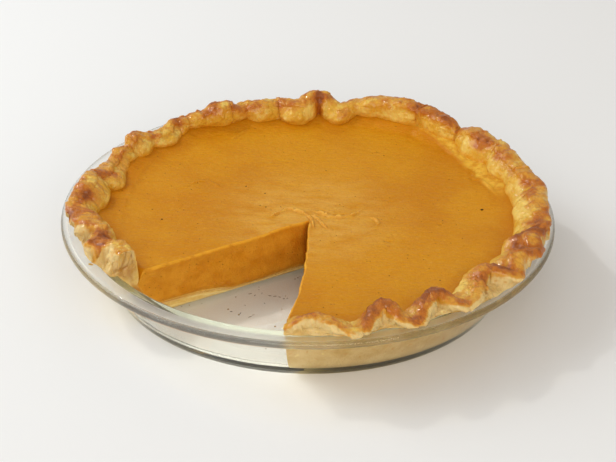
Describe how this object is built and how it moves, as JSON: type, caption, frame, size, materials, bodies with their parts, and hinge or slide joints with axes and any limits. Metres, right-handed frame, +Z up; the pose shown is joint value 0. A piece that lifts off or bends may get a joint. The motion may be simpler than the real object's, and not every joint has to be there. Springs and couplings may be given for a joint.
{
  "type": "pumpkin pie in a glass pie dish",
  "caption": "Round custard pie with a fluted pastry rim in a clear glass pie dish, with one slice cut out down to the glass.",
  "frame": {"origin": "centre of the dish's flat base, on the surface that it rests on", "axes": "+Z up, the missing slice towards -Y"},
  "size_m": [0.244, 0.244, 0.0449],
  "materials": {
    "clear_glass": "clear glass, faintly green at its edges",
    "baked_pastry": null,
    "pumpkin_custard": null
  },
  "bodies": {
    "root": {"dish": "clear_glass", "crust": "baked_pastry", "filling": "pumpkin_custard"}
  },
  "joints": []
}
